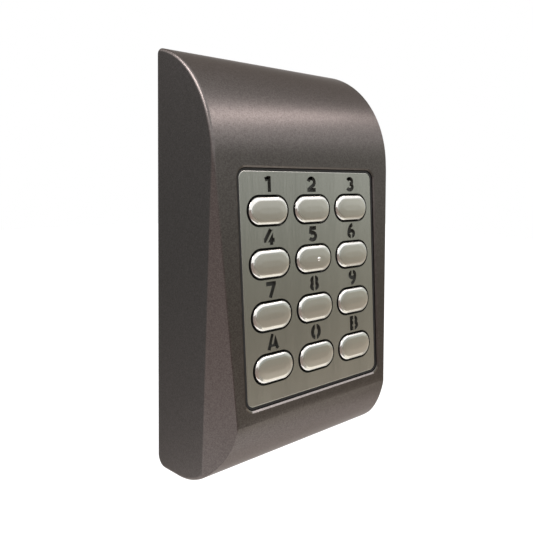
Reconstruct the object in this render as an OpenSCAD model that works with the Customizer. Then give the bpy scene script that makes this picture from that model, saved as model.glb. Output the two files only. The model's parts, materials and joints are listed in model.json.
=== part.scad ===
// Keypad access reader: a wall unit with an arched cover, a steel keypad plate and twelve keys.
// Millimetres. Origin at the centre of the back on the wall, +Z up, front towards -Y, +X right.

/* [Housing] */
// Width of the cover
body_w = 51; // [50:0.5:53]
// Height of the cover
body_h = 93.2; // [93.2:0.2:93.6]
// Radius of the arched top
top_r = 24.75; // [24.75:0.25:25.5]
// How far the axis of that arch lies behind the wall
arc_back = 3.8; // [3.4:0.4:4.2]
// Radius of the knee where the front turns under
knee_r = 6.3; // [5:0.1:8]
// Turn of that knee, in degrees
knee_turn = 19; // [19:1:20]
// Radius of the sweep from the knee to the underside
bot_r = 20.7; // [20.7:1:21.7]
// Fall of the underside towards the wall, in degrees
under_lean = 8.4; // [7.6:0.2:10]
// Lean of the front and of the keypad, in degrees
tilt = 5.6; // [5.2:0.4:5.6]
// Wall thickness
wall = 2.2; // [2:0.1:2.4]
// Height above the middle where the two corner bevels begin
bevel_top_z = 27; // [25:0.2:28]
// Depth of the side face at the foot of a bevel
bevel_side_d = 18; // [17:0.25:19]
// Width that a bevel takes from the front at its foot
bevel_run = 4.2; // [3.4:0.1:4.6]
// Rounding of the edge where the two sides meet the arch, the front and the underside
rim_r = 0.9; // [0.8:0.1:0.9]
// Width of the slope that breaks the cover's edges at the wall
foot_edge = 0.8; // [0.5:0.1:1]

/* [Keypad plate] */
// Width of the window in the cover
window_w = 40.2; // [39.8:0.1:40.6]
// Height of that window
window_h = 48.4; // [48:0.1:49]
// Middle of the window, measured up the leaning front
window_v = -4; // [-4:0.05:-3.3]
// Gap around the plate
plate_gap = 0.6; // [0.5:0.05:0.75]
// Depth of the plate's face behind the front
plate_recess = 0.4; // [0.2:0.05:0.6]
// Plate thickness
plate_t = 0.8; // [0.7:0.05:0.9]

/* [Keys] */
// Distance between columns
pitch_u = 12.33; // [12:0.05:12.6]
// Distance between rows
pitch_v = 10.72; // [10.5:0.02:11]
// Middle of the key grid, measured up the leaning front
keys_v = -4.5; // [-4.7:0.05:-4.2]
// Length of a key's hole
hole_l = 10.6; // [10.3:0.05:10.7]
// Width of a key's hole
hole_w = 6.35; // [6.1:0.05:6.6]
// Gap between a key and its hole
key_gap = 0.35; // [0.3:0.05:0.45]
// Height of a key's face above the plate
key_proud = 0.7; // [0.5:0.05:0.9]
// Rounding of a key's upper edge
key_edge = 0.9; // [0.5:0.05:1.2]
// Travel of a key
key_travel = 0.5; // [0.3:0.05:0.5]

/* [Wall side] */
// Thickness of the back plate
back_t = 2.6; // [2.4:0.1:3]
// Distance between the two wall screws
screw_span = 60; // [54:1:64]
// Radius of a wall screw's hole
screw_r = 2.2; // [1.8:0.1:2.6]
// Radius of the cable's way through the grommet
cable_r = 4; // [3:0.25:4.5]
// Height of the cable hole
cable_z = -8; // [-10:0.5:-6]

/* [Hidden] */
$fn = 72;
ts = sin(tilt);
tc = cos(tilt);
us = sin(under_lean);
uc = cos(under_lean);
arc_z = body_h / 2 - sqrt(top_r * top_r - arc_back * arc_back);
front_c = top_r - arc_back * tc + arc_z * ts;
// centres of the knee and of the sweep below it, as depth and height
knee_n = [cos(tilt - knee_turn), sin(tilt - knee_turn)];
knee_a = front_c - knee_r;
knee_b = uc * body_h / 2 - bot_r + (bot_r - knee_r) * (knee_n * [us, -uc]);
knee = [uc * knee_a + ts * knee_b, us * knee_a - tc * knee_b] / cos(tilt - under_lean);
sweep = knee - (bot_r - knee_r) * knee_n;
// by how little a straight run lies inside the arcs that it joins, so that their edges cross cleanly
shy = 0.003;
// by how many degrees one arc of the outline runs on past the next
over = 1;
plate_c = front_c - plate_recess;
function front_d(z) = (front_c - z * ts) / tc;
function under_z(d) = d * us / uc - body_h / 2;
function arc_d(z) = sqrt(top_r * top_r - (z - arc_z) * (z - arc_z)) - arc_back;
apex = [-body_w / 2, -arc_d(bevel_top_z), bevel_top_z];
side_end = [-body_w / 2, -bevel_side_d, -body_h / 2];
front_end = [bevel_run - body_w / 2, -front_d(-body_h / 2), -body_h / 2];
bevel_raw = cross(side_end - apex, front_end - apex);
bevel_n = bevel_raw * (bevel_raw[0] < 0 ? 1 : -1) / norm(bevel_raw);
// depths along the plate's normal, from its face inward
gasket_t = 0.5;
ledge_w0 = -plate_t - gasket_t;
ledge_w1 = ledge_w0 - 1.6;
guide_t = 0.9;
flange_w0 = -plate_t - guide_t;
flange_t = 1;
stem_w = -4.4;
mat_w0 = flange_w0 - flange_t - key_travel - 0.2;
mat_w1 = mat_w0 - 0.8;
board_w0 = -6.6;
board_t = 1.2;
board_w1 = board_w0 - board_t;
switch_h = 1.6;
open_w = window_w - 3.8;
open_h = window_h - 3.8;
board_v = window_v + 0.1;
post_u = 20.4;
post_v = 19.6;
coil_lean = 30;
in_z1 = arc_z + sqrt((top_r - wall) * (top_r - wall) - (arc_back + back_t) * (arc_back + back_t));
in_z0 = under_z(back_t) + wall / uc;
slack = 0.3;
// window corners, and the surround that carries the ledge
window_r = 2.2;
plate_r = 1.6;
open_r = 1.5;
sheet_r = 1.2;
sheet_gap = 0.3;
surround = 1.3;
// keys and plungers
flange_out = 0.45;
stem_r = 1.5;
nib_r = 0.5;
plunger_r = 1;
plunger_l = 1.2;
// posts and the screws in them
post_r = 2.2;
pilot_r = 1.1;
board_u = 44.4;
board_l = 46.4;
// coil on its spigot, with w outward from the arch's axis
coil_w = 18.75;
coil_t = 2.55;
coil_r = 9.4;
coil_hole_r = 6.4;
spigot_r = 6.1;
pad_r = 8;
pad_in = 1.45;
// terminals
term_v = -15.1;
term_pitch = 3.8;
term_h = 7.5;
term_seat = 5.4;
// hooks at the top of the back plate, its lug and the locking screw in it
hook_u = 13;
hook_w = 7.2;
hook_t = 1.4;
hook_h = 1;
hook_d = back_t - 0.1;
lug_d = 6.2;
lug_h = 6.5;
lug_w = 10;
lug_reach = 4;
lock_r = 1.2;
lock_head_r = 2.7;
// back plate inside the cover, and the seal in its groove
base_w = body_w - 2 * wall;
base_h = in_z1 - in_z0;
base_z = (in_z0 + in_z1) / 2;
seal_in = 1.8;
seal_w = 1.5;
seal_gap = 0.1;
// tamper sensor and its sight hole in the back plate
tamper_u = 12;
sight_z = 10;
sight_r = 2.4;
bronze = [0.36, 0.32, 0.29];
steel = [0.62, 0.63, 0.6];
satin = [0.72, 0.7, 0.66];
dark = [0.12, 0.12, 0.13];
green = [0.1, 0.3, 0.18];

// a flat outline of depth and height, drawn out along X
module along_x(w)
  rotate([90, 0, -90])
    linear_extrude(height = w, center = true)
      children();

// the plate's own axes: u right, v up the lean, w outward from the plate's face
module on_plate()
  rotate([90 - tilt, 0, 0])
    translate([0, 0, plate_c])
      children();

// axes on the arch, outward from its axis, where the coil sits
module on_arch()
  translate([0, arc_back, arc_z])
    rotate([90 - coil_lean, 0, 0])
      children();

module at_keys()
  for (c = [-1, 0, 1])
    for (r = [-1.5, -0.5, 0.5, 1.5])
      translate([c * pitch_u, keys_v + r * pitch_v, 0])
        children();

module at_posts()
  for (s = [-1, 1])
    for (t = [-1, 1])
      translate([s * post_u, board_v + t * post_v, 0])
        children();

// a slab between two depths
module slab(w0, w1)
  translate([0, 0, w1])
    linear_extrude(height = w0 - w1)
      children();

module rounded(w, h, r) {
  square([w - 2 * r, h], center = true);
  square([w, h - 2 * r], center = true);
  for (x = [-1, 1])
    for (y = [-1, 1])
      translate([x * (w / 2 - r), y * (h / 2 - r)])
        circle(r = r);
}

module obround(l, w) {
  square([l - w, w], center = true);
  for (x = [-1, 1])
    translate([x * (l - w) / 2, 0])
      circle(r = w / 2);
}

// side outline of the cover, drawn in by o, from a depth on
module profile(o, from) {
  sweep_from = tilt - knee_turn - over;
  far = 2 * (bot_r - o);
  inner = [0, 2];
  front = (front_c - o - shy) * [tc, ts];
  under = (uc * body_h / 2 - o - shy) * [us, -uc];
  up = [-ts, tc];
  to_wall = [-uc, -us];
  intersection() {
    union() {
      translate([-arc_back, arc_z])
        circle(r = top_r - o);
      translate(knee)
        circle(r = knee_r - o);
      intersection() {
        translate(sweep)
          circle(r = bot_r - o);
        polygon([sweep, sweep + far * [cos(sweep_from), sin(sweep_from)], sweep + far * [0.45, -1.425],
          sweep - [0, far], sweep - [2, 0]]);
      }
      polygon([[-2, arc_z], front + (arc_z * tc + arc_back * ts) * up, front + (knee * up) * up,
        knee - inner, sweep - inner, under + (sweep * to_wall) * to_wall,
        under + (sweep * to_wall + bot_r) * to_wall]);
    }
    translate([from, -body_h])
      square([body_h, 2 * body_h]);
  }
}

module bevel_cut(o)
  translate(apex - o * bevel_n)
    rotate([0, acos(bevel_n[2]), atan2(bevel_n[1], bevel_n[0])])
      translate([-90, -90, 0])
        cube([180, 180, 40]);

// a round edge along one arc of that outline, between two directions
module rim_arc(c, r, a0, a1)
  translate([0, -c[0], c[1]])
    rotate([0, 90, 0])
      rotate([0, 0, -90 - a1])
        rotate_extrude(angle = a1 - a0)
          translate([r - rim_r, 0])
            circle(r = rim_r - shy);

// the round edge along one side: its three arcs, and rods along the front and the underside
module rim(s) {
  foot = sweep + (bot_r - rim_r) * [us, -uc];
  knee_v = knee[1] * tc - knee[0] * ts;
  translate([s * (body_w / 2 - rim_r), 0, 0]) {
    rim_arc([-arc_back, arc_z], top_r, 0, 100);
    rim_arc(knee, knee_r, tilt - knee_turn - 20, tilt + 20);
    rim_arc(sweep, bot_r, under_lean - 95, tilt - knee_turn - over);
    rotate([90 - tilt, 0, 0])
      translate([0, knee_v, front_c - rim_r])
        rotate([-90, 0, 0])
          cylinder(r = rim_r - 2 * shy, h = arc_z * tc + arc_back * ts - knee_v);
    translate([0, -foot[0], foot[1]])
      rotate([-90 - under_lean, 0, 0])
        cylinder(r = rim_r - 2 * shy, h = foot[0] / uc + 2);
  }
}

// the full width, less a rim all round, with the round rims in that step
module sides()
  union() {
    along_x(body_w)
      profile(rim_r, 0);
    intersection() {
      union() {
        rim(-1);
        rim(1);
      }
      translate([-body_w, -body_h, -body_h])
        cube([2 * body_w, body_h, 2 * body_h]);
    }
  }

// the cover's outer form with its two bevels
module cover()
  difference() {
    union() {
      sides();
      along_x(body_w - 2 * rim_r)
        profile(0, 0);
    }
    bevel_cut(0);
    mirror([1, 0, 0])
      bevel_cut(0);
    for (a = [0, 180])
      rotate([0, a, 0]) {
        foot_cut(body_h / 2);
        rotate([0, 90, 0])
          foot_cut(body_w / 2);
      }
  }

// the slope along one edge at the wall, at a distance from the middle
module foot_cut(r)
  translate([-body_h, 0, r - foot_edge])
    rotate([45, 0, 0])
      cube([2 * body_h, 2 * wall, 2 * wall]);

// its hollow, one wall thickness inside
module hollow()
  difference() {
    along_x(body_w - 2 * wall)
      profile(wall, -1);
    bevel_cut(wall);
    mirror([1, 0, 0])
      bevel_cut(wall);
  }

module housing()
  color(bronze)
    difference() {
      union() {
        difference() {
          cover();
          hollow();
        }
        on_plate() {
          translate([0, window_v, 0])
            slab(-0.9, ledge_w1)
              square([window_w + 2 * surround, window_h + 2 * surround], center = true);
          at_posts()
            slab(-1.2, board_w0)
              circle(r = post_r);
        }
        on_arch() {
          translate([0, 0, coil_w])
            cylinder(r = pad_r, h = top_r - pad_in - coil_w);
          translate([0, 0, coil_w - coil_t - 0.6])
            cylinder(r = spigot_r, h = coil_t + 1.4);
        }
      }
      on_plate() {
        translate([0, window_v, 0]) {
          slab(8, ledge_w0)
            rounded(window_w, window_h, window_r);
          slab(0, ledge_w1 - 1)
            rounded(open_w, open_h, open_r);
        }
        at_posts()
          slab(-2.4, board_w0 - 1)
            circle(r = pilot_r);
      }
      for (s = [-1, 1])
        translate([s * hook_u - hook_w / 2 - slack, -hook_d - slack, in_z1 - 1])
          cube([hook_w + 2 * slack, hook_t + 2 * slack, hook_h + slack + 1]);
      translate([0, -lug_d, under_z(lug_d) - 2]) {
        cylinder(r = lock_r + 0.4, h = 7);
        cylinder(r = lock_head_r + 0.4, h = 3.2);
      }
    }

module keypad_plate()
  color(steel)
    on_plate()
      slab(0, -plate_t)
        difference() {
          translate([0, window_v])
            rounded(window_w - 2 * plate_gap, window_h - 2 * plate_gap, plate_r);
          at_keys()
            obround(hole_l, hole_w);
        }

module window_gasket()
  color(dark)
    on_plate()
      slab(-plate_t, ledge_w0)
        translate([0, window_v])
          difference() {
            rounded(window_w - 2 * plate_gap - 0.2, window_h - 2 * plate_gap - 0.2, plate_r - 0.1);
            rounded(open_w + 0.2, open_h + 0.2, open_r);
          }

module light_guide()
  color([0.8, 0.82, 0.84])
    on_plate()
      slab(-plate_t, flange_w0)
        difference() {
          translate([0, window_v])
            rounded(open_w - 2 * sheet_gap, open_h - 2 * sheet_gap, sheet_r);
          at_keys()
            obround(hole_l, hole_w);
        }

// one key: cap with a rounded edge, flange under the guide, stem
module key_at(c, r) {
  l = hole_l - 2 * key_gap;
  w = hole_w - 2 * key_gap;
  e = key_edge;
  top = key_proud;
  color(satin)
    on_plate()
      translate([c * pitch_u, keys_v + r * pitch_v, 0]) {
        slab(top - e, flange_w0)
          obround(l, w);
        for (x = [-1, 1])
          translate([x * (l - w) / 2, 0, top - e])
            rotate_extrude()
              key_edge_2d(w / 2, e);
        rotate([90, 0, 90])
          translate([0, top - e, 0])
            linear_extrude(height = l - w, center = true)
              union() {
                key_edge_2d(w / 2, e);
                mirror([1, 0])
                  key_edge_2d(w / 2, e);
              }
        slab(flange_w0, flange_w0 - flange_t)
          obround(hole_l + 2 * flange_out, hole_w + 2 * flange_out);
        slab(flange_w0 - flange_t, stem_w)
          circle(r = stem_r);
      }
}

module key_edge_2d(half, e) {
  square([half - e, e]);
  intersection() {
    translate([half - e, 0])
      circle(r = e);
    translate([half - e, 0])
      square([e, e]);
  }
}

module key_1() key_at(-1, 1.5);
module key_2() key_at(0, 1.5);
module key_3() key_at(1, 1.5);
module key_4() key_at(-1, 0.5);
module key_5() {
  key_at(0, 0.5);
  color(satin)
    on_plate()
      translate([2 * nib_r, keys_v + pitch_v / 2 - 0.1, key_proud - 0.2])
        sphere(r = nib_r);
}
module key_6() key_at(1, 0.5);
module key_7() key_at(-1, -0.5);
module key_8() key_at(0, -0.5);
module key_9() key_at(1, -0.5);
module key_a() key_at(-1, -1.5);
module key_0() key_at(0, -1.5);
module key_b() key_at(1, -1.5);

// the moving button of one switch, right behind its key's stem
module plunger_at(c, r)
  color([0.75, 0.2, 0.15])
    on_plate()
      translate([c * pitch_u, keys_v + r * pitch_v, 0])
        slab(stem_w, stem_w - plunger_l)
          circle(r = plunger_r);

module plunger_1() plunger_at(-1, 1.5);
module plunger_2() plunger_at(0, 1.5);
module plunger_3() plunger_at(1, 1.5);
module plunger_4() plunger_at(-1, 0.5);
module plunger_5() plunger_at(0, 0.5);
module plunger_6() plunger_at(1, 0.5);
module plunger_7() plunger_at(-1, -0.5);
module plunger_8() plunger_at(0, -0.5);
module plunger_9() plunger_at(1, -0.5);
module plunger_a() plunger_at(-1, -1.5);
module plunger_0() plunger_at(0, -1.5);
module plunger_b() plunger_at(1, -1.5);

module seal_mat()
  color([0.2, 0.2, 0.22])
    on_plate() {
      slab(mat_w0, mat_w1)
        difference() {
          translate([0, window_v])
            rounded(open_w - 2 * sheet_gap, open_h - 2 * sheet_gap, sheet_r);
          at_keys()
            circle(r = stem_r + sheet_gap);
          at_keys()
            translate([0, pitch_v / 2])
              square([3, 1.8], center = true);
        }
      for (s = [-1, 1])
        translate([s * (open_w / 2 - 0.95), window_v])
          slab(mat_w1, board_w0)
            square([1.3, open_h - 6], center = true);
    }

module keypad_board()
  color(green)
    on_plate()
      slab(board_w0, board_w1)
        difference() {
          translate([0, board_v])
            rounded(board_u, board_l, 2);
          at_posts()
            circle(r = pilot_r + 0.2);
        }

module tact_switches()
  color(dark)
    on_plate()
      at_keys()
        difference() {
          slab(board_w0 + switch_h, board_w0)
            square(4.6, center = true);
          slab(board_w0 + 3, board_w0 + 0.4)
            circle(r = plunger_r + 0.35);
        }

module backlight_leds()
  color([0.9, 0.9, 0.8])
    on_plate()
      at_keys()
        translate([0, pitch_v / 2])
          slab(board_w0 + 0.6, board_w0)
            square([1.6, 0.8], center = true);

module board_screws()
  color(steel)
    on_plate()
      at_posts() {
        slab(board_w1, board_w1 - 1.3)
          circle(r = 1.9);
        slab(-3.2, board_w1)
          circle(r = pilot_r - 0.15);
      }

module controller_chip()
  color(dark)
    on_plate()
      translate([-9, board_v + 2.4])
        slab(board_w1, board_w1 - 1.2)
          square(9, center = true);

module buzzer()
  color(dark)
    on_plate()
      translate([-11, board_v + 16.4])
        difference() {
          slab(board_w1, board_w1 - 4.4)
            circle(r = 5);
          slab(board_w1 - 3.6, board_w1 - 5)
            circle(r = 0.9);
        }

module supply_capacitor()
  color([0.25, 0.25, 0.3])
    on_plate()
      translate([3, board_v + 17.4])
        slab(board_w1, board_w1 - 5.5)
          circle(r = 2.5);

module tamper_sensor()
  color(dark)
    on_plate()
      translate([tamper_u, board_v + 13.9])
        slab(board_w1, board_w1 - 1.6)
          square([3.4, 4.2], center = true);

module terminal_block()
  color([0.15, 0.35, 0.25])
    on_plate()
      translate([0, board_v + term_v, 0])
        difference() {
          slab(board_w1, board_w1 - term_h)
            square([20, 8], center = true);
          for (i = [-2 : 2])
            translate([i * term_pitch, 0, 0]) {
              slab(board_w1 - term_seat, board_w1 - term_h - 1)
                circle(r = 1.45);
              translate([0, -4, board_w1 - 3])
                cube([2.6, 7, 2.6], center = true);
            }
        }

module terminal_screws()
  color(satin)
    on_plate()
      translate([0, board_v + term_v, 0])
        for (i = [-2 : 2])
          translate([i * term_pitch, 0, 0])
            slab(board_w1 - term_seat, board_w1 - term_seat - 1.2)
              circle(r = 1.25);

module antenna_coil()
  color([0.6, 0.35, 0.18])
    on_arch()
      translate([0, 0, coil_w - coil_t])
        difference() {
          cylinder(r = coil_r, h = coil_t);
          translate([0, 0, -1])
            cylinder(r = coil_hole_r, h = coil_t + 2);
        }

// outline of the back plate's space, drawn in by o
module ring_edge(o, r)
  rounded(base_w - 2 * o, base_h - 2 * o, r);

module back_plate()
  color([0.2, 0.2, 0.21])
    difference() {
      union() {
        translate([slack + wall - body_w / 2, -back_t, in_z0 + slack])
          cube([base_w - 2 * slack, back_t, base_h - 2 * slack]);
        for (s = [-1, 1])
          translate([s * hook_u - hook_w / 2, -hook_d, in_z1 - 2])
            cube([hook_w, hook_t, hook_h + 2]);
        along_x(lug_w)
          polygon([[back_t - 0.5, in_z0 + slack], [back_t - 0.5, in_z0 + lug_h],
            [lug_d + lug_reach, in_z0 + lug_h],
            [lug_d + lug_reach, under_z(lug_d + lug_reach) + wall / uc + slack]]);
      }
      for (z = [-0.5, 0.5])
        translate([0, 1, z * screw_span])
          rotate([90, 0, 0]) {
            cylinder(r = screw_r, h = 8);
            translate([0, 0, back_t + 0.2])
              cylinder(r = screw_r + 1.9, h = 8);
          }
      translate([0, 1, cable_z])
        rotate([90, 0, 0])
          cylinder(r = cable_r + 2.4, h = 8);
      translate([tamper_u, 1, sight_z])
        rotate([90, 0, 0])
          cylinder(r = sight_r, h = 8);
      translate([0, -lug_d, in_z0 - 1])
        cylinder(r = lock_r + 0.15, h = lug_h + 2);
      translate([0, 0, base_z])
        rotate([90, 0, 0])
          slab(1, -1)
            difference() {
              ring_edge(seal_in - seal_gap, 2.5);
              ring_edge(seal_in + seal_w + seal_gap, 1.5);
            }
    }

module cable_grommet()
  color(dark)
    translate([0, 0, cable_z])
      rotate([90, 0, 0])
        difference() {
          union() {
            cylinder(r = cable_r + 2.1, h = back_t + 1);
            translate([0, 0, back_t])
              cylinder(r = cable_r + 4, h = 1.2);
          }
          translate([0, 0, -1])
            cylinder(r = cable_r, h = 8);
        }

module wall_seal()
  color([0.3, 0.3, 0.32])
    translate([0, 0, base_z])
      rotate([90, 0, 0])
        slab(1, 0)
          difference() {
            ring_edge(seal_in, 2.4);
            ring_edge(seal_in + seal_w, 1.6);
          }

module locking_screw()
  color(satin)
    translate([0, -lug_d, under_z(lug_d) + 0.2]) {
      cylinder(r = lock_head_r, h = 1);
      cylinder(r = lock_r, h = 9);
    }

housing();
keypad_plate();
window_gasket();
light_guide();
key_1();
key_2();
key_3();
key_4();
key_5();
key_6();
key_7();
key_8();
key_9();
key_a();
key_0();
key_b();
plunger_1();
plunger_2();
plunger_3();
plunger_4();
plunger_5();
plunger_6();
plunger_7();
plunger_8();
plunger_9();
plunger_a();
plunger_0();
plunger_b();
seal_mat();
keypad_board();
tact_switches();
backlight_leds();
board_screws();
controller_chip();
buzzer();
supply_capacitor();
tamper_sensor();
terminal_block();
terminal_screws();
antenna_coil();
back_plate();
cable_grommet();
wall_seal();
locking_screw();
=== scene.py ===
import json
import math

import bpy
from mathutils import Matrix, Vector


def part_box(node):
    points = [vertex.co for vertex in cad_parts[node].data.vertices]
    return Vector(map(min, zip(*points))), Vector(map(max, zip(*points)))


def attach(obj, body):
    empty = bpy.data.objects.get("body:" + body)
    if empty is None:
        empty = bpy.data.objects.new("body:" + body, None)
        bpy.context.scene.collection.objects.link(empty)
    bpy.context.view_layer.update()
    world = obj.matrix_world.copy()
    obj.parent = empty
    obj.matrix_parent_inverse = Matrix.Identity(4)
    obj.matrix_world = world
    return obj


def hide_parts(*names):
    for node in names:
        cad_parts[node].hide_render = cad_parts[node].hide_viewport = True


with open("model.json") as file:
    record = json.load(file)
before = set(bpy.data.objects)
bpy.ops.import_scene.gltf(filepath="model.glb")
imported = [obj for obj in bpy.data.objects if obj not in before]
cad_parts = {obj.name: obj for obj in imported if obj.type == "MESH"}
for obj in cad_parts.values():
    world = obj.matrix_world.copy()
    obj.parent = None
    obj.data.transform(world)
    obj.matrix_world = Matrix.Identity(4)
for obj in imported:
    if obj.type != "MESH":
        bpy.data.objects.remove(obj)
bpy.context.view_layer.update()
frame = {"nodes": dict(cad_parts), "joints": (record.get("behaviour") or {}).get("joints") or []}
nodes = frame["nodes"]
mm = 0.001
tiny = 0.02 * mm        # places closer than this count as the same
weld = 0.001 * mm       # points closer than this are merged
cutReach = 0.0005 * mm  # points closer than this to a cut lie on it
print("frame loaded with", len(nodes), "nodes")


# working helpers: everything else is built with these

def letGo():
    if bpy.context.mode != "OBJECT":
        bpy.ops.object.mode_set(mode="OBJECT")
    bpy.ops.object.select_all(action="DESELECT")


def take(obj):
    letGo()
    obj.select_set(True)
    bpy.context.view_layer.objects.active = obj


def pick(obj, kind, test):
    # goes into edit mode with only the edges or faces that pass the test
    take(obj)
    mesh = obj.data
    for group in (mesh.vertices, mesh.edges, mesh.polygons):
        group.foreach_set("select", [False] * len(group))
    if kind == "edges":
        for edge in mesh.edges:
            a, b = (mesh.vertices[i].co for i in edge.vertices)
            edge.select = test(a, b)
    if kind == "faces":
        for face in mesh.polygons:
            face.select = test(face.center, face.normal)
    bpy.context.tool_settings.mesh_select_mode = (False, kind == "edges", kind == "faces")
    bpy.ops.object.mode_set(mode="EDIT")


def upright(a, b):
    return abs(a.z - b.z) > tiny


def level(a, b):
    return abs(a.z - b.z) < tiny


def facesFront(center, normal):
    return normal.z > 0.9


def facesBack(center, normal):
    return normal.z < -0.9


def roundEdges(obj, test, radius, steps, clamp=True):
    pick(obj, "edges", test)
    bpy.ops.mesh.bevel(offset=radius, segments=steps, affect="EDGES", clamp_overlap=clamp)
    bpy.ops.object.mode_set(mode="OBJECT")


def pullOut(way):
    bpy.ops.mesh.extrude_region_move(TRANSFORM_OT_translate={"value": way})


def drawOn(way):
    bpy.ops.mesh.extrude_vertices_move(TRANSFORM_OT_translate={"value": way})


def fixPlace(obj, place):
    # puts the piece where it belongs and leaves the place in the mesh
    take(obj)
    obj.matrix_world = place
    bpy.ops.object.transform_apply(location=True, rotation=True, scale=True)


def finishWith(obj, kind, **settings):
    take(obj)
    modifier = obj.modifiers.new(kind.lower(), kind)
    for name, value in settings.items():
        setattr(modifier, name, value)
    bpy.ops.object.modifier_apply(modifier=modifier.name)


def cutAway(obj, cutter):
    finishWith(obj, "BOOLEAN", operation="DIFFERENCE", solver="EXACT", object=cutter)
    bpy.data.objects.remove(cutter)


def addOn(obj, part):
    finishWith(obj, "BOOLEAN", operation="UNION", solver="EXACT", object=part)
    bpy.data.objects.remove(part)


def joinAll(pieces, name):
    take(pieces[0])
    for piece in pieces[1:]:
        piece.select_set(True)
    bpy.ops.object.join()
    pieces[0].name = name
    return pieces[0]


def copyOf(obj, name):
    twin = obj.copy()
    twin.data = obj.data.copy()
    twin.name = name
    bpy.context.collection.objects.link(twin)
    return twin


def smooth(obj, degrees):
    take(obj)
    bpy.ops.object.shade_smooth_by_angle(angle=math.radians(degrees))
    finishWith(obj, "WEIGHTED_NORMAL", keep_sharp=True, weight=80)


def onePoint(name, place):
    # the start of a drawn line: a plane shrunk to a point, left in edit mode
    letGo()
    bpy.ops.mesh.primitive_plane_add(size=1 * mm)
    obj = bpy.context.object
    obj.name = name
    bpy.context.tool_settings.mesh_select_mode = (True, False, False)
    bpy.ops.object.mode_set(mode="EDIT")
    bpy.ops.mesh.select_all(action="SELECT")
    bpy.ops.mesh.merge(type="CENTER")
    bpy.ops.transform.translate(value=place)
    return obj


def slab(name, width, height, front, back, corner, steps):
    # a block with round corners, lying in the plate's own axes
    letGo()
    bpy.ops.mesh.primitive_cube_add(size=1, location=(0, 0, (front + back) / 2),
                                    scale=(width, height, front - back))
    obj = bpy.context.object
    obj.name = name
    bpy.ops.object.transform_apply(location=True, rotation=True, scale=True)
    roundEdges(obj, upright, corner, steps)
    return obj


def rod(name, sides, radius, low, high):
    letGo()
    bpy.ops.mesh.primitive_cylinder_add(vertices=sides, radius=radius, depth=high - low,
                                        location=(0, 0, (low + high) / 2))
    obj = bpy.context.object
    obj.name = name
    bpy.ops.object.transform_apply(location=True, rotation=True, scale=True)
    return obj


# the cover: an arched top, a leaning front, a knee, a sweep under it and two bevels

pressAxis = Vector(frame["joints"][0]["axis"])
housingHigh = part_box("housing")[1]
cover = {
    "halfWidth": housingHigh.x,
    "halfHeight": housingHigh.z,
    "lean": math.atan2(-pressAxis.z, pressAxis.y),
    "topRadius": 24.75 * mm,
    "arcBack": 3.8 * mm,        # the arch's axis lies this far behind the wall
    "kneeRadius": 6.3 * mm,
    "kneeTurn": math.radians(19),
    "sweepRadius": 20.7 * mm,
    "underLean": math.radians(8.4),
    "bevelTop": 27.0 * mm,      # height where the bevels begin
    "bevelSide": 18.0 * mm,     # depth of the side face at a bevel's foot
    "bevelRun": 4.2 * mm,       # what a bevel takes from the front at its foot
    "wall": 2.2 * mm,
    "frontWall": 3.2 * mm,
    "hollowPast": 1.0 * mm,     # the hollow's cutter goes this far past the wall
    "rimRound": 0.7 * mm,
    "rimSteps": 8,
    "topCorner": 1.2 * mm,      # where the side outline meets the wall, above and below
    "lowCorner": 2.6 * mm,
    "pastWall": 0.45 * mm,      # how much of those rounds the wall cuts off
    "sideCrease": 1.5 * mm,     # radii of the bevels' edges at the side and at the front
    "frontCrease": 0.45 * mm,
    "creaseSteps": (0.2, 0.4, 0.6, 0.8),    # shares of its turn at which a crease gets a plane
    "arcSteps": 56,
    "kneeSteps": 14,
    "cornerSteps": 8,
    "smoothBelow": 28,          # degrees, here and on the other pieces
}


def facing(turn):
    # the outward direction at a turn from straight up towards the front
    return Vector((0, -math.sin(turn), math.cos(turn)))


leanSin, leanCos = math.sin(cover["lean"]), math.cos(cover["lean"])
archZ = cover["halfHeight"] - math.sqrt(cover["topRadius"] ** 2 - cover["arcBack"] ** 2)
archAxis = Vector((0, cover["arcBack"], archZ))
frontOut = cover["topRadius"] - cover["arcBack"] * leanCos + archZ * leanSin
frontTurn = math.pi / 2 - cover["lean"]
kneeEnd = frontTurn + cover["kneeTurn"]
underTurn = math.pi - cover["underLean"]
underOut = math.cos(cover["underLean"]) * cover["halfHeight"]
drop = cover["sweepRadius"] - cover["kneeRadius"]
kneeFront = frontOut - cover["kneeRadius"]
kneeUnder = underOut - cover["sweepRadius"] + drop * facing(kneeEnd).dot(facing(underTurn))
kneeAxis = Vector((0, -(math.cos(cover["underLean"]) * kneeFront + leanSin * kneeUnder),
                   math.sin(cover["underLean"]) * kneeFront - leanCos * kneeUnder))
kneeAxis /= math.cos(cover["lean"] - cover["underLean"])
sweepAxis = kneeAxis - drop * facing(kneeEnd)


def roundPlanes(corner, one, other, radius, shares):
    # points and outward directions of planes that round the edge between two faces
    middle = corner - radius / (1 + one.dot(other)) * (one + other)
    return [(middle + radius * between, between)
            for between in (one.slerp(other, share) for share in shares)]


def bevelPlanes(inset, soft):
    # points and outward directions of the left bevel's plane and of those that round its two edges
    half, top = cover["halfWidth"], cover["bevelTop"]
    topDepth = math.sqrt(cover["topRadius"] ** 2 - (top - archZ) ** 2) - cover["arcBack"]
    foot = -cover["halfHeight"]
    apex = Vector((-half, -topDepth, top))
    sideFoot = Vector((-half, -cover["bevelSide"], foot))
    frontFoot = Vector((cover["bevelRun"] - half, -(frontOut - foot * leanSin) / leanCos, foot))
    normal = (sideFoot - apex).cross(frontFoot - apex).normalized()
    if normal.x > 0:
        normal = -normal
    planes = [(apex - normal * inset, normal)]
    if soft:
        for corner, beside, radius in ((sideFoot, Vector((-1, 0, 0)), cover["sideCrease"]),
                                       (frontFoot, facing(frontTurn), cover["frontCrease"])):
            planes += roundPlanes(corner, beside, normal, radius, cover["creaseSteps"])
    return planes


def onRim(a, b):
    # an edge round a side face
    return min(abs(a.x), abs(b.x)) > cover["halfWidth"] - tiny and abs(a.x - b.x) < tiny


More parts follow.
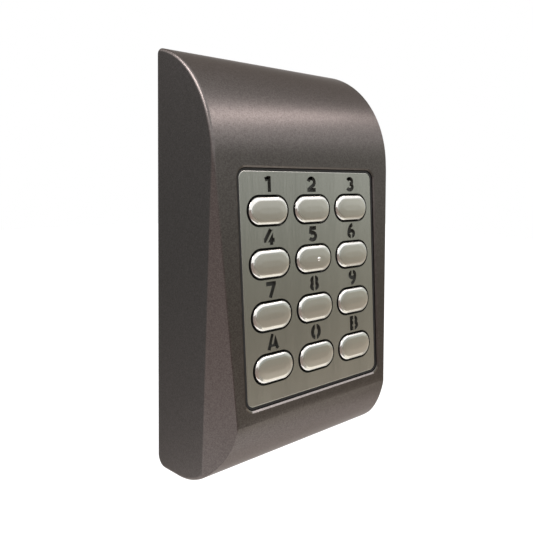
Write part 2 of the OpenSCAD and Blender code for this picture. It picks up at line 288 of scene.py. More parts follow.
def spinOn(steps, turn, axisAt):
    bpy.ops.mesh.spin(steps=steps, angle=turn, center=axisAt, axis=(1, 0, 0))


def trim(point, outward):
    # cuts off what lies outside a plane and closes the cut
    bpy.ops.mesh.select_all(action="SELECT")
    bpy.ops.mesh.bisect(plane_co=point, plane_no=outward, use_fill=True, clear_outer=True,
                        threshold=cutReach)


def coverForm(name, inset, past, soft):
    # draws the side outline from one point by spins and straight runs, and pulls it out along X
    top, knee, sweep = (cover[part] - inset for part in ("topRadius", "kneeRadius", "sweepRadius"))
    half = cover["halfWidth"] - inset
    above, below = (cover["topCorner"], cover["lowCorner"]) if soft else (0, 0)
    back = -math.pi / 2
    archTurn = math.asin((cover["arcBack"] - past + above) / (top - above))
    aboveAxis = archAxis + (top - above) * facing(archTurn)
    start = aboveAxis + above * facing(back if soft else archTurn)
    straight = (kneeAxis + knee * facing(frontTurn)) - (archAxis + top * facing(frontTurn))
    sweepFoot = sweepAxis + sweep * facing(underTurn)
    run = past - below * (1 + math.sin(underTurn)) - sweepFoot.y
    toWall = run * Vector((0, 1, -math.tan(cover["underLean"])))
    belowAxis = sweepFoot + toWall - below * facing(underTurn)
    obj = onePoint(name, (-half, start.y, start.z))
    if soft:
        spinOn(cover["cornerSteps"], back - archTurn, aboveAxis)
    spinOn(cover["arcSteps"], archTurn - frontTurn, archAxis)
    drawOn(straight)
    spinOn(cover["kneeSteps"], -cover["kneeTurn"], kneeAxis)
    spinOn(cover["arcSteps"], kneeEnd - underTurn, sweepAxis)
    drawOn(toWall)
    if soft:
        spinOn(cover["cornerSteps"], underTurn - math.tau - back, belowAxis)
    bpy.ops.mesh.select_all(action="SELECT")
    bpy.ops.mesh.edge_face_add()
    pullOut((2 * half, 0, 0))
    bpy.ops.object.mode_set(mode="OBJECT")
    if soft:
        roundEdges(obj, onRim, cover["rimRound"], cover["rimSteps"], clamp=False)
    take(obj)
    bpy.ops.object.mode_set(mode="EDIT")
    if soft:
        trim((0, 0, 0), (0, 1, 0))
    for point, normal in bevelPlanes(inset, soft):
        for side in (1, -1):
            trim((side * point.x, point.y, point.z), (side * normal.x, normal.y, normal.z))
    bpy.ops.mesh.select_all(action="SELECT")
    bpy.ops.mesh.remove_doubles(threshold=weld)
    bpy.ops.mesh.normals_make_consistent(inside=False)
    bpy.ops.object.mode_set(mode="OBJECT")
    return obj


# the window in the cover, in the keypad's own axes: x right, y up the lean, z outward from the plate

window = {
    "width": 40.2 * mm, "height": 48.4 * mm, "middle": -4.0 * mm,
    "corner": 2.2 * mm, "cornerSteps": 10,
    "recess": 0.4 * mm,         # the plate's face lies this far behind the front
    "ledge": -1.3 * mm,         # heights from the plate's face, here and below
    "cutFront": 6.0 * mm,
    "openingLess": 3.8 * mm, "openingCorner": 1.5 * mm, "openingSteps": 6,
    "openingFront": 3.0 * mm, "openingBack": -9.0 * mm,
    "lipWide": 0.36 * mm,       # the slope round the window, across and deep
    "lipDeep": 0.24 * mm,
    "lipOutward": (0.7, 0.95),  # how far the faces of the slope that get the painted highlight look outward, and at its foot upward
    "lipUpward": 0.2,
}
plateSpace = (Matrix.Rotation(math.pi / 2 - cover["lean"], 4, "X")
              @ Matrix.Translation((0, 0, frontOut - window["recess"])))
toPlate = plateSpace.inverted()
windowAt = plateSpace @ Matrix.Translation((0, window["middle"], 0))


def windowSlab(name, less, front, back, corner, steps):
    # a block as large as the window, less an amount
    return slab(name, window["width"] - less, window["height"] - less, front, back, corner, steps)


def cutWindow(block):
    fixPlace(block, windowAt)
    cutAway(housing, block)


housing = coverForm("housing_cover", 0, cover["pastWall"], True)
hollow = coverForm("hollow", cover["wall"], cover["hollowPast"], False)
fixPlace(hollow, Matrix.Translation((0, cover["frontWall"] - cover["wall"], 0)))
cutAway(housing, hollow)
cutWindow(windowSlab("pocket", 0, window["cutFront"], window["ledge"],
                     window["corner"], window["cornerSteps"]))
cutWindow(windowSlab("opening", window["openingLess"], window["openingFront"], window["openingBack"],
                     window["openingCorner"], window["openingSteps"]))

screwHole = {"head": 3.1 * mm, "headDeep": 1.2 * mm, "shank": 1.6 * mm, "shankDeep": 6.0 * mm,
             "below": 4.0 * mm, "fromWall": 6.2 * mm, "sides": 48}
screwAt = Vector((0, -screwHole["fromWall"],
                  screwHole["fromWall"] * math.tan(cover["underLean"]) - cover["halfHeight"]))
for part in ("head", "shank"):
    drill = rod("drill", screwHole["sides"], screwHole[part], -screwHole["below"], screwHole[part + "Deep"])
    fixPlace(drill, Matrix.Translation(screwAt))
    cutAway(housing, drill)

# the slope round the window is cut by a block whose front is wider than its back; the cover's face
# meets it half-way, so each side of its front goes out by twice the slope's width
flare = windowSlab("flare", 0, window["recess"] + window["lipDeep"], window["recess"] - window["lipDeep"],
                   window["corner"], window["cornerSteps"])
pick(flare, "faces", facesFront)
bpy.ops.transform.resize(value=(1 + 4 * window["lipWide"] / window["width"],
                                1 + 4 * window["lipWide"] / window["height"], 1),
                         center_override=(0, 0, window["recess"]))
cutWindow(flare)


def onPaintedLipHighlight(face):
    # a face of that slope along the foot of the window, which gets a brighter lacquer as a painted highlight
    # of the light from above
    at = windowAt.inverted() @ face.center
    out = toPlate.to_3x3() @ face.normal
    past = max(abs(at.x) - window["width"] / 2, abs(at.y) - window["height"] / 2)
    least, most = window["lipOutward"]
    return past < window["lipWide"] and at.z > 0 and least < out.z < most and out.y > window["lipUpward"]


smooth(housing, cover["smoothBelow"])
print("cover made:", len(housing.data.polygons), "faces")


# the keys: an obround cap with a soft edge, a flange behind the plate and a stem

key = {
    "pitchAcross": 12.33 * mm, "pitchUp": 10.72 * mm, "gridMiddle": -4.5 * mm,
    "holeLength": 11.1 * mm, "holeWidth": 6.5 * mm, "gap": 0.46 * mm,
    "endShare": 0.998,          # the ends' radius, as a share of half the width
    "endSteps": 24,
    "proud": 0.7 * mm, "shoulder": 0.05 * mm,
    "edge": 1.3 * mm, "edgeSteps": 10,
    "crown": 0.09 * mm, "crownSteps": (0.12, 0.25, 0.4, 0.55, 0.7),
    "flange": -1.7 * mm, "flangeThick": 1.0 * mm, "flangeOut": 0.2 * mm,
    "stemRadius": 1.5 * mm, "stemEnd": -4.4 * mm, "stemSides": 32,
    "paintedShadeTop": 0.12 * mm,      # below this height above the plate the key's side is painted near black, as painted shade of the gap round the key
    "satinFrom": 0.986,         # faces that look outward less than this are polished
    "smoothBelow": 35,
}
nib = {"right": 1.0 * mm, "up": -0.1 * mm, "radius": 0.5 * mm, "sunk": 0.2 * mm, "segments": 24, "rings": 16}
keyGrid = {"1": (-1, 1.5), "2": (0, 1.5), "3": (1, 1.5),
           "4": (-1, 0.5), "5": (0, 0.5), "6": (1, 0.5),
           "7": (-1, -0.5), "8": (0, -0.5), "9": (1, -0.5),
           "a": (-1, -1.5), "0": (0, -1.5), "b": (1, -1.5)}


def keySpot(name):
    column, row = keyGrid[name]
    return Vector((column * key["pitchAcross"], key["gridMiddle"] + row * key["pitchUp"], 0))


def obround(name, length, width, front, back):
    return slab(name, length, width, front, back, width / 2 * key["endShare"], key["endSteps"])


def capOutline(half):
    # distance in from the edge and height of a round edge that runs on into a low crown
    rise = key["proud"] - key["crown"] - key["shoulder"]
    crownSpan = half - key["edge"]
    last = math.atan(rise / key["edge"] * crownSpan / (2 * key["crown"]))
    for step in range(1, key["edgeSteps"] + 1):
        turn = last * step / key["edgeSteps"]
        yield key["edge"] * (1 - math.cos(turn)), key["shoulder"] + rise * math.sin(turn)
    for share in key["crownSteps"]:
        yield key["edge"] + share * crownSpan, key["proud"] - key["crown"] * (1 - share) ** 2


def makeKey():
    length = key["holeLength"] - 2 * key["gap"]
    width = key["holeWidth"] - 2 * key["gap"]
    cap = obround("key", length, width, key["shoulder"], key["flange"])
    pick(cap, "faces", facesFront)
    inWas, heightWas = 0, key["shoulder"]
    for inset, height in capOutline(width / 2):
        pullOut((0, 0, height - heightWas))
        bpy.ops.transform.resize(value=((length - 2 * inset) / (length - 2 * inWas),
                                        (width - 2 * inset) / (width - 2 * inWas), 1),
                                 center_override=(0, 0, height))
        inWas, heightWas = inset, height
    pick(cap, "faces", facesBack)
    pullOut((0, 0, 0))
    out = 2 * key["flangeOut"] + 2 * key["gap"]
    bpy.ops.transform.resize(value=((length + out) / length, (width + out) / width, 1),
                             center_override=(0, 0, key["flange"]))
    pullOut((0, 0, -key["flangeThick"]))
    addOn(cap, rod("stem", key["stemSides"], key["stemRadius"], key["stemEnd"],
                   key["flange"] - key["flangeThick"] / 2))
    return cap


def addNib(cap):
    letGo()
    bpy.ops.mesh.primitive_uv_sphere_add(segments=nib["segments"], ring_count=nib["rings"],
                                         radius=nib["radius"],
                                         location=(nib["right"], nib["up"], key["proud"] - nib["sunk"]))
    dot = bpy.context.object
    bpy.ops.object.transform_apply(location=True, rotation=True, scale=True)
    addOn(cap, dot)


keyModel = makeKey()
keys = {}
for name in keyGrid:
    cap = copyOf(keyModel, "key_cap_" + name)
    if name == "5":
        addNib(cap)
    fixPlace(cap, plateSpace @ Matrix.Translation(keySpot(name)))
    smooth(cap, key["smoothBelow"])
    keys[name] = cap
bpy.data.objects.remove(keyModel)
print("keys made:", len(keys))


# the plate: holes for the keys, and the legends cut right through like a stencil

plate = {"gap": 0.6 * mm, "thick": 0.8 * mm, "corner": 1.6 * mm, "cornerSteps": 8,
         "edge": 0.24 * mm, "edgeSteps": 2, "holeFront": 1.0 * mm, "holeBack": -2.0 * mm,
         "smoothBelow": 25}
legend = {"rise": 5.36 * mm, "stroke": 0.86 * mm, "zeroStroke": 0.95 * mm, "slit": 0.42 * mm,
          "deep": 4.0 * mm, "arcSteps": 16}


def arc(x, y, wide, high, start, end):
    turns = [math.radians(start + (end - start) * step / legend["arcSteps"])
             for step in range(legend["arcSteps"] + 1)]
    return [(x + wide * math.cos(turn), y + high * math.sin(turn)) for turn in turns]


sixTail = arc(0.72, -0.45, 1.62, 1.9, 178, 98)
# the strokes' centre lines in millimetres from each legend's middle
strokes = {
    "1": [[(0.5, 1.6), (0.5, -1.6)], [(-0.6, 0.9), (0.5, 1.32)]],
    "2": [arc(0, 0.4, 0.92, 0.84, 168, -38) + [(-0.9, -1.2)], [(-1.25, -1.25), (1.28, -1.25)]],
    "3": [arc(-0.1, 0.63, 0.82, 0.62, 155, -90), arc(-0.1, -0.61, 0.92, 0.64, 90, -155)],
    "4": [[(0.45, 1.6), (-1.1, -0.6)], [(-1.4, -0.62), (1.4, -0.62)], [(0.58, 1.5), (0.58, -1.6)]],
    "5": [[(1.0, 1.25), (-0.95, 1.25)], [(-0.62, 1.25), (-0.72, 0.05)],
          arc(-0.12, -0.48, 0.95, 0.77, 128, -150)],
    "6": [arc(0, -0.58, 0.9, 0.67, 0, 360), sixTail],
    "7": [[(-1.28, 1.25), (1.3, 1.25)], [(0.98, 1.4), (-0.3, -1.6)]],
    "8": [arc(0, 0.67, 0.8, 0.58, 0, 360), arc(0, -0.62, 0.95, 0.63, 0, 360)],
    "9": [arc(0, 0.58, 0.9, 0.67, 0, 360), [(-x, -y) for x, y in sixTail]],
    "a": [[(-1.15, -1.6), (-0.02, 1.6)], [(1.2, -1.6), (0.15, 1.5)], [(-0.8, -0.62), (0.8, -0.62)]],
    "0": [arc(0, 0, 1.05, 1.25, 0, 360)],
    "b": [[(-0.85, 1.6), (-0.85, -1.6)],
          [(-1.2, 1.25)] + arc(0.2, 0.66, 0.72, 0.59, 90, -90) + [(-0.9, 0.07)],
          [(-0.9, 0.07)] + arc(0.25, -0.59, 0.82, 0.66, 90, -90) + [(-1.2, -1.25)]],
}
# the slits left standing to hold each legend's islands, from point to point
slits = {"4": ((0.98, 1.25), (-0.75, -1.2)), "6": ((0.06, -0.5), (0.06, -1.8)),
         "8": ((0, 1.8), (0, -1.8)), "9": ((-0.06, 0.5), (-0.06, 1.8)),
         "a": ((0.62, 1.9), (-0.2, -0.5)), "0": ((0, 1.8), (0, -1.8)), "b": ((0.08, 1.8), (0.08, -1.8))}


def strokeWall(points, thick, deep):
    # a wall along a centre line: a point drawn along it, raised and thickened
    wall = onePoint("stroke", (points[0][0] * mm, points[0][1] * mm, -deep / 2))
    for here, there in zip(points, points[1:]):
        drawOn(((there[0] - here[0]) * mm, (there[1] - here[1]) * mm, 0))
    bpy.ops.mesh.select_all(action="SELECT")
    bpy.ops.mesh.remove_doubles(threshold=weld)
    bpy.ops.mesh.select_all(action="SELECT")
    pullOut((0, 0, deep))
    bpy.ops.object.mode_set(mode="OBJECT")
    finishWith(wall, "SOLIDIFY", thickness=thick, offset=0, use_even_offset=True)
    take(wall)
    bpy.ops.object.mode_set(mode="EDIT")
    bpy.ops.mesh.select_all(action="SELECT")
    bpy.ops.mesh.normals_make_consistent(inside=False)
    bpy.ops.object.mode_set(mode="OBJECT")
    return wall


def legendCutter(name):
    thick = legend["zeroStroke" if name == "0" else "stroke"]
    first, *others = (strokeWall(line, thick, legend["deep"]) for line in strokes[name])
    for other in others:
        addOn(first, other)
    if name in slits:
        cutAway(first, strokeWall(slits[name], legend["slit"], 2 * legend["deep"]))
    return first


steel = windowSlab("plate_face", 2 * plate["gap"], 0, -plate["thick"], plate["corner"], plate["cornerSteps"])
roundEdges(steel, lambda a, b: min(a.z, b.z) > -tiny, plate["edge"], plate["edgeSteps"])
fixPlace(steel, Matrix.Translation((0, window["middle"], 0)))
holes = []
for name in keyGrid:
    hole = obround("hole", key["holeLength"], key["holeWidth"], plate["holeFront"], plate["holeBack"])
    fixPlace(hole, Matrix.Translation(keySpot(name)))
    holes.append(hole)
cutAway(steel, joinAll(holes, "holes"))
for name in keyGrid:
    cutter = legendCutter(name)
    fixPlace(cutter, Matrix.Translation(keySpot(name) + Vector((0, legend["rise"], 0))))
    cutAway(steel, cutter)
fixPlace(steel, plateSpace)
smooth(steel, plate["smoothBelow"])
print("plate made:", len(steel.data.polygons), "faces")


# the gasket under the plate, with a lip that stands up in the gap round it

gasket = {"clear": 0.16 * mm, "lipTop": -0.02 * mm, "openingLess": 3.4 * mm,
          "roomFront": 1.0 * mm, "openingBack": -3.0 * mm, "smoothBelow": 30}
seal = windowSlab("gasket_ring", 2 * gasket["clear"], gasket["lipTop"], window["ledge"],
                  window["corner"] - gasket["clear"], window["cornerSteps"])
for less, low, corner in ((2 * plate["gap"], -plate["thick"], plate["corner"]),
                          (gasket["openingLess"], gasket["openingBack"], window["openingCorner"])):
    cutAway(seal, windowSlab("room", less, gasket["roomFront"], low, corner, plate["cornerSteps"]))
fixPlace(seal, windowAt)
smooth(seal, gasket["smoothBelow"])
print("gasket made:", len(seal.data.polygons), "faces")


# the locking screw in the underside, with a hexagon socket and ridges for its thread

screw = {"headRadius": 2.7 * mm, "headThick": 1.0 * mm, "headSides": 48, "edge": 0.15 * mm, "edgeSteps": 3,
         "socketRadius": 1.15 * mm, "socketDeep": 0.7 * mm, "socketBelow": 1.0 * mm, "socketSides": 6,
         "shankRadius": 1.2 * mm, "shankSides": 32, "threadTurns": 11, "threadDeep": 0.12 * mm,
         "ridgeShare": 1 / 3,        # half a ridge's length, as a share of the pitch
         "smoothBelow": 30}
screwLow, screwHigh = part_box("locking_screw")
screwLength = screwHigh.z - screwLow.z
lockScrew = rod("lock_screw", screw["headSides"], screw["headRadius"], 0, screw["headThick"])
roundEdges(lockScrew, lambda a, b: max(a.z, b.z) < tiny, screw["edge"], screw["edgeSteps"])
cutAway(lockScrew, rod("socket", screw["socketSides"], screw["socketRadius"],
                       -screw["socketBelow"], screw["socketDeep"]))
threads = [rod("shank", screw["shankSides"], screw["shankRadius"] - screw["threadDeep"],
               screw["headThick"] / 2, screwLength)]
pitch = (screwLength - screw["headThick"]) / (screw["threadTurns"] + 1)
for turn in range(screw["threadTurns"]):
    middle = screw["headThick"] + (turn + 1) * pitch
    ridge = rod("ridge", screw["shankSides"], screw["shankRadius"],
                middle - pitch * screw["ridgeShare"], middle + pitch * screw["ridgeShare"])
    roundEdges(ridge, level, screw["threadDeep"], 1)
    threads.append(ridge)
for part in threads:
    addOn(lockScrew, part)
fixPlace(lockScrew, Matrix.Translation(((screwLow.x + screwHigh.x) / 2, (screwLow.y + screwHigh.y) / 2,
                                        screwLow.z)))
smooth(lockScrew, screw["smoothBelow"])
print("locking screw made:", len(lockScrew.data.polygons), "faces")


# finishes

def finish(name, color, metallic, roughness):
    made = bpy.data.materials.new(name)
    made.use_nodes = True
    shader = made.node_tree.nodes["Principled BSDF"]
    shader.inputs["Base Color"].default_value = (*color, 1)
    shader.inputs["Metallic"].default_value = metallic
    shader.inputs["Roughness"].default_value = roughness
    return made, made.node_tree, shader


def patternOn(tree, kind, scale, **settings):
    # a texture on the piece's own coordinates
    place = tree.nodes.new("ShaderNodeTexCoord")
    mapping = tree.nodes.new("ShaderNodeMapping")
    mapping.inputs["Scale"].default_value = scale
    tree.links.new(place.outputs["Object"], mapping.inputs["Vector"])
    texture = tree.nodes.new(kind)
    texture.inputs["Scale"].default_value = 1
    for name, value in settings.items():
        texture.inputs[name].default_value = value
    tree.links.new(mapping.outputs["Vector"], texture.inputs["Vector"])
    return texture


def spread(tree, source, low, high, target):
    # turns a pattern's 0 to 1 into a colour between two, and gives the ramp for more stops
    ramp = tree.nodes.new("ShaderNodeValToRGB")
    ramp.color_ramp.elements[0].color = (*low, 1)
    ramp.color_ramp.elements[1].color = (*high, 1)
    tree.links.new(source, ramp.inputs["Fac"])
    tree.links.new(ramp.outputs["Color"], target)
    return ramp.color_ramp


def bumpFrom(tree, source, shader, strength, distance):
    bump = tree.nodes.new("ShaderNodeBump")
    bump.inputs["Strength"].default_value = strength
    bump.inputs["Distance"].default_value = distance
    tree.links.new(source, bump.inputs["Height"])
    tree.links.new(bump.outputs["Normal"], shader.inputs["Normal"])


def bronzeLacquer(name, roughness, gain):
    # metal flakes under a dark lacquer; gain brightens them, and along the window's foot that brightening is
    # a painted highlight
    look = {"dull": (0.148, 0.132, 0.126), "flake": (0.222, 0.200, 0.192), "edge": (0.59, 0.55, 0.525),
            "flakesPerMetre": 5200, "bump": 0.05, "bumpHeight": 0.02 * mm}
    dull, flake = ([gain * part for part in look[tone]] for tone in ("dull", "flake"))
    made, tree, shader = finish(name, dull, 1, roughness)
    shader.inputs["Specular Tint"].default_value = (*look["edge"], 1)
    cells = patternOn(tree, "ShaderNodeTexVoronoi", (look["flakesPerMetre"],) * 3)
    split = tree.nodes.new("ShaderNodeSeparateColor")
    tree.links.new(cells.outputs["Color"], split.inputs["Color"])
    spread(tree, split.outputs["Red"], dull, flake, shader.inputs["Base Color"])
    bumpFrom(tree, split.outputs["Green"], shader, look["bump"], look["bumpHeight"])
    return made


def brushedSteel():
    look = {"low": (0.55, 0.545, 0.505), "high": (0.69, 0.68, 0.635), "roughness": 0.25,
            "grain": (9000, 260, 260), "grainDetail": 4, "streaks": (170, 7, 7), "streakDetail": 2,
            "streakShare": 0.45, "from": 0.35, "to": 0.65, "bump": 0.08, "bumpHeight": 0.02 * mm}
    made, tree, shader = finish("brushed_plate", look["low"], 1, look["roughness"])
    grain = patternOn(tree, "ShaderNodeTexNoise", look["grain"], Detail=look["grainDetail"])
    streaks = patternOn(tree, "ShaderNodeTexNoise", look["streaks"], Detail=look["streakDetail"])
    both = tree.nodes.new("ShaderNodeMix")
    both.inputs["Factor"].default_value = look["streakShare"]
    tree.links.new(grain.outputs["Fac"], both.inputs["A"])
    tree.links.new(streaks.outputs["Fac"], both.inputs["B"])
    ramp = spread(tree, both.outputs["Result"], look["low"], look["high"], shader.inputs["Base Color"])
    ramp.elements[0].position, ramp.elements[1].position = look["from"], look["to"]
    bumpFrom(tree, grain.outputs["Fac"], shader, look["bump"], look["bumpHeight"])
    return made


def keyMetal(name, low, high, roughness):
    look = {"grain": (5000, 400, 400), "grainDetail": 3}
    made, tree, shader = finish(name, low, 1, roughness)
    noise = patternOn(tree, "ShaderNodeTexNoise", look["grain"], Detail=look["grainDetail"])
    spread(tree, noise.outputs["Fac"], low, high, shader.inputs["Base Color"])
    return made


def innerLook(name, color, metallic, roughness, grainPerMetre):
    # a plain inner material with a little grain in its colour
    look = {"darker": 0.8, "lighter": 1.2, "grainDetail": 2}
    made, tree, shader = finish(name, color, metallic, roughness)
    noise = patternOn(tree, "ShaderNodeTexNoise", (grainPerMetre,) * 3, Detail=look["grainDetail"])
    spread(tree, noise.outputs["Fac"], [look["darker"] * part for part in color],
           [min(look["lighter"] * part, 1) for part in color], shader.inputs["Base Color"])
    return made


def paint(obj, *finishes):
    obj.data.materials.clear()
    for made in finishes:
        obj.data.materials.append(made)


bronze = bronzeLacquer("bronze_lacquer", roughness=0.33, gain=1)
# a brighter, glossier copy of the lacquer: a painted highlight along the window's foot
lipHighlightPaint = bronzeLacquer("bronze_lip_painted_highlight", roughness=0.17, gain=2.3)
brushed = brushedSteel()
satin = keyMetal("satin_key", (0.83, 0.79, 0.725), (0.90, 0.86, 0.795), roughness=0.29)
polished = keyMetal("key_edge", (0.95, 0.93, 0.89), (0.99, 0.97, 0.93), roughness=0.14)
# painted shade: the key's side down in the gap is coloured near black
paintedSkirtShade = innerLook("key_skirt_painted_shade", (0.012, 0.012, 0.012), metallic=0, roughness=0.6, grainPerMetre=900)
paint(housing, bronze, lipHighlightPaint)
# the upward-facing faces along the window's foot get the painted highlight
for face in housing.data.polygons:
    face.material_index = int(onPaintedLipHighlight(face))
paint(steel, brushed)
for cap in keys.values():
    # a satin metal face with polished edges over a near-black skirt, which is painted shade of the gap round
    # the key
    paint(cap, satin, paintedSkirtShade, polished)
    for face in cap.data.polygons:
        if (toPlate @ face.center).z < key["paintedShadeTop"]:
            face.material_index = 1
        elif (toPlate.to_3x3() @ face.normal).z < key["satinFrom"]:
            face.material_index = 2
innerLooks = {  # the inner and rear pieces: users, colour, metallic, roughness, grains per metre
    "black_gasket": (("window_gasket", "cable_grommet"), (0.17, 0.17, 0.165), 0, 0.7, 1500),
    # the light guide behind the stencil legends is coloured near black: painted shade of the closed housing
    # behind them
    "legend_guide": (("light_guide",), (0.045, 0.046, 0.044), 0, 0.45, 300),
    "grey_rubber": (("seal_mat", "wall_seal"), (0.06, 0.06, 0.065), 0, 0.85, 1500),
    "board_green": (("keypad_board",), (0.02, 0.12, 0.05), 0, 0.4, 700),
    "switch_black": (("tact_switches",), (0.02, 0.02, 0.02), 0, 0.5, 1200),
    "lamp_white": (("backlight_leds",), (0.75, 0.72, 0.62), 0, 0.4, 1200),
    "zinc_screw": (("board_screws", "terminal_screws"), (0.6, 0.6, 0.58), 1, 0.3, 2500),
    "chip_black": (("controller_chip", "buzzer", "tamper_sensor"), (0.015, 0.015, 0.015), 0, 0.5, 1500),
    "can_grey": (("supply_capacitor",), (0.5, 0.5, 0.52), 1, 0.35, 1500),
    "terminal_green": (("terminal_block",), (0.03, 0.22, 0.1), 0, 0.5, 900),
    "copper_wire": (("antenna_coil",), (0.6, 0.28, 0.13), 1, 0.35, 2500),
    "dark_plastic": (("back_plate",), (0.04, 0.04, 0.043), 0, 0.55, 1800),
    "plunger_red": (tuple("plunger_" + name for name in keyGrid), (0.4, 0.04, 0.03), 0, 0.5, 900),
}
for name, (users, *look) in innerLooks.items():
    made = innerLook(name, *look)
    for user in users:
        paint(nodes[user], made)
paint(lockScrew, bpy.data.materials["zinc_screw"])
paint(seal, bpy.data.materials["black_gasket"])
print("finishes set")


# what each piece rides on and stands for

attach(housing, "base")
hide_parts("housing")
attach(steel, "base")
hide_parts("keypad_plate")
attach(seal, "base")
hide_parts("window_gasket")
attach(lockScrew, "base")
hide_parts("locking_screw")
for name, cap in keys.items():
    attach(cap, "key_" + name + "_body")
    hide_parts("key_" + name)


# the camera at the photograph's place: turns in radians, and frame, focal and middleRow in pixels

view = {
    "place": Vector((-83.875, -106.916, 22.089)) * mm,
    "heading": 0.6956, "down": 0.1411, "roll": 0.0256,
    "frame": 533, "focal": 552.5, "middleRow": 247.38, "sensor": 36,
    "nearest": 0.005, "farthest": 20,
}
bpy.ops.object.camera_add(location=view["place"])
camera = bpy.context.object
camera.rotation_euler = (Matrix.Rotation(-view["heading"], 3, "Z")
                         @ Matrix.Rotation(math.pi / 2 - view["down"], 3, "X")
                         @ Matrix.Rotation(view["roll"], 3, "Z")).to_euler()
camera.data.sensor_width = view["sensor"]
camera.data.lens = view["focal"] / view["frame"] * view["sensor"]
camera.data.shift_y = (view["middleRow"] - view["frame"] / 2) / view["frame"]
camera.data.clip_start, camera.data.clip_end = view["nearest"], view["farthest"]
bpy.context.scene.camera = camera


# floor, room and light

ground = {"size": 8, "height": -0.45, "low": (0.84, 0.84, 0.84), "high": (0.86, 0.86, 0.86),
          "roughness": 0.9, "cloudsPerMetre": 3, "cloudDetail": 1, "lift": 0.35}
letGo()
bpy.ops.mesh.primitive_plane_add(size=ground["size"], location=(0, 0, ground["height"]))
floor = bpy.context.object
floor.name = "floor"
pale, tree, shader = finish("floor_pale", ground["low"], 0, ground["roughness"])
cloud = patternOn(tree, "ShaderNodeTexNoise", (ground["cloudsPerMetre"],) * 3, Detail=ground["cloudDetail"])
spread(tree, cloud.outputs["Fac"], ground["low"], ground["high"], shader.inputs["Base Color"])
# to the camera and in mirrors the floor is lifted to white, and it keeps its shadows
rays = tree.nodes.new("ShaderNodeLightPath")
seen = rays.outputs["Is Camera Ray"]
for other in ("Is Glossy Ray", "Is Transmission Ray"):
    either = tree.nodes.new("ShaderNodeMath")
    either.operation = "MAXIMUM"
    tree.links.new(seen, either.inputs[0])
    tree.links.new(rays.outputs[other], either.inputs[1])
    seen = either.outputs[0]
lift = tree.nodes.new("ShaderNodeMath")
lift.operation = "MULTIPLY"
lift.inputs[1].default_value = ground["lift"]
tree.links.new(seen, lift.inputs[0])
shader.inputs["Emission Color"].default_value = (1, 1, 1, 1)
tree.links.new(lift.outputs[0], shader.inputs["Emission Strength"])
paint(floor, pale)

world = bpy.data.worlds.new("studio")
bpy.context.scene.world = world
world.use_nodes = True
room = world.node_tree.nodes["Background"]
room.inputs["Color"].default_value = (1, 1, 1, 1)
room.inputs["Strength"].default_value = 1


def faceReader(obj, turn, rise, far):
    # places it round the reader: degrees from its front towards its right, degrees up, metres away
    t, r = math.radians(turn), math.radians(rise)
    place = far * Vector((math.sin(t) * math.cos(r), -math.cos(t) * math.cos(r), math.sin(r)))
    obj.location = place
    obj.rotation_euler = (-place).to_track_quat("-Z", "Y").to_euler()


# grey studio cards out of sight, which the metal mirrors: turn, rise, distance, width and height,
# how much brighter they are at the right, and their colours upward from 0 at the foot to 1 at the top
cards = {
    "front_card": (42, -14, 0.5, (0.95, 0.75), 1.5,
                   {0: (0.50, 0.47, 0.43), 0.32: (0.29, 0.278, 0.25), 0.45: (0.33, 0.293, 0.247),
                    0.56: (0.20, 0.185, 0.152), 0.66: (0.25, 0.248, 0.213), 0.76: (0.342, 0.357, 0.333)}),
    "foot_card": (42, -37, 0.5, (0.23, 0.21), 1, {0: (0.88, 0.85, 0.78), 1: (0.92, 0.88, 0.77)}),
    "rear_card": (-152, -6, 0.5, (0.8, 0.56), 1,
                  {0: (0.37, 0.377, 0.377), 0.45: (0.217, 0.235, 0.235), 1: (0.275, 0.29, 0.292)}),
    "left_card": (-98, -4, 0.5, (0.4, 0.5), 1, {0: (0.60, 0.50, 0.47), 1: (0.28, 0.26, 0.26)}),
    "near_card": (-40, -18, 0.5, (0.8, 0.62), 1,
                  {0: (0.34, 0.27, 0.235), 0.5: (0.265, 0.216, 0.192), 1: (0.265, 0.236, 0.22)}),
    "top_card": (140, 55, 0.5, (0.9, 0.5), 1, {0: (0.56, 0.55, 0.53), 1: (0.56, 0.55, 0.53)}),
}
halfCard = 0.5       # a card is 1 across in its own coordinates
brightenOver = 0.12  # the way right of its middle in which it brightens


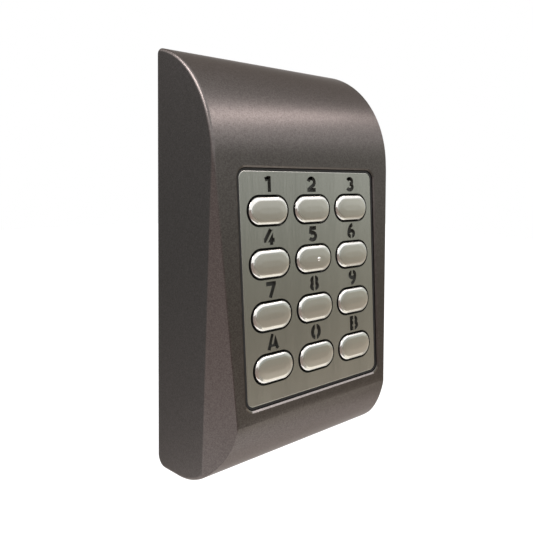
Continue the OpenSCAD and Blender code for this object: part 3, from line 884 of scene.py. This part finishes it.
def cardLook(name, toRight, stops):
    made, tree, _ = finish(name, stops[0], 0, 1)
    place = tree.nodes.new("ShaderNodeTexCoord")
    split = tree.nodes.new("ShaderNodeSeparateXYZ")
    tree.links.new(place.outputs["Object"], split.inputs["Vector"])
    upward = tree.nodes.new("ShaderNodeMath")
    upward.inputs[1].default_value = halfCard
    tree.links.new(split.outputs["Y"], upward.inputs[0])
    across = tree.nodes.new("ShaderNodeMapRange")
    across.inputs["From Min"].default_value, across.inputs["From Max"].default_value = 0, brightenOver
    across.inputs["To Min"].default_value, across.inputs["To Max"].default_value = 1, toRight
    tree.links.new(split.outputs["X"], across.inputs["Value"])
    glow = tree.nodes.new("ShaderNodeEmission")
    tree.links.new(across.outputs["Result"], glow.inputs["Strength"])
    ramp = spread(tree, upward.outputs[0], stops[0], stops[max(stops)], glow.inputs["Color"])
    ramp.elements[1].position = max(stops)
    for at in sorted(stops)[1:-1]:
        ramp.elements.new(at).color = (*stops[at], 1)
    tree.links.new(glow.outputs[0], tree.nodes["Material Output"].inputs["Surface"])
    return made


for name, (turn, rise, far, size, toRight, stops) in cards.items():
    letGo()
    bpy.ops.mesh.primitive_plane_add(size=1)
    card = bpy.context.object
    card.name = name
    card.scale = (*size, 1)
    faceReader(card, turn, rise, far)
    paint(card, cardLook(name, toRight, stops))
    card.visible_camera = False

lamps = {  # turn, rise, distance, width and height, watts, colour
    "window_light": (43, 44, 0.7, (0.5, 0.07), 0.54, (1.0, 0.89, 0.87)),
    "rim_light": (-100, 52, 0.6, (0.5, 0.25), 2.4, (1.0, 0.92, 0.91)),
}
for name, (turn, rise, far, size, watts, color) in lamps.items():
    letGo()
    bpy.ops.object.light_add(type="AREA")
    lamp = bpy.context.object
    lamp.name = name
    lamp.data.shape = "RECTANGLE"
    lamp.data.size, lamp.data.size_y = size
    lamp.data.energy = watts
    lamp.data.color = color
    faceReader(lamp, turn, rise, far)

bpy.context.scene.view_settings.view_transform = "Standard"
print("camera and light set")
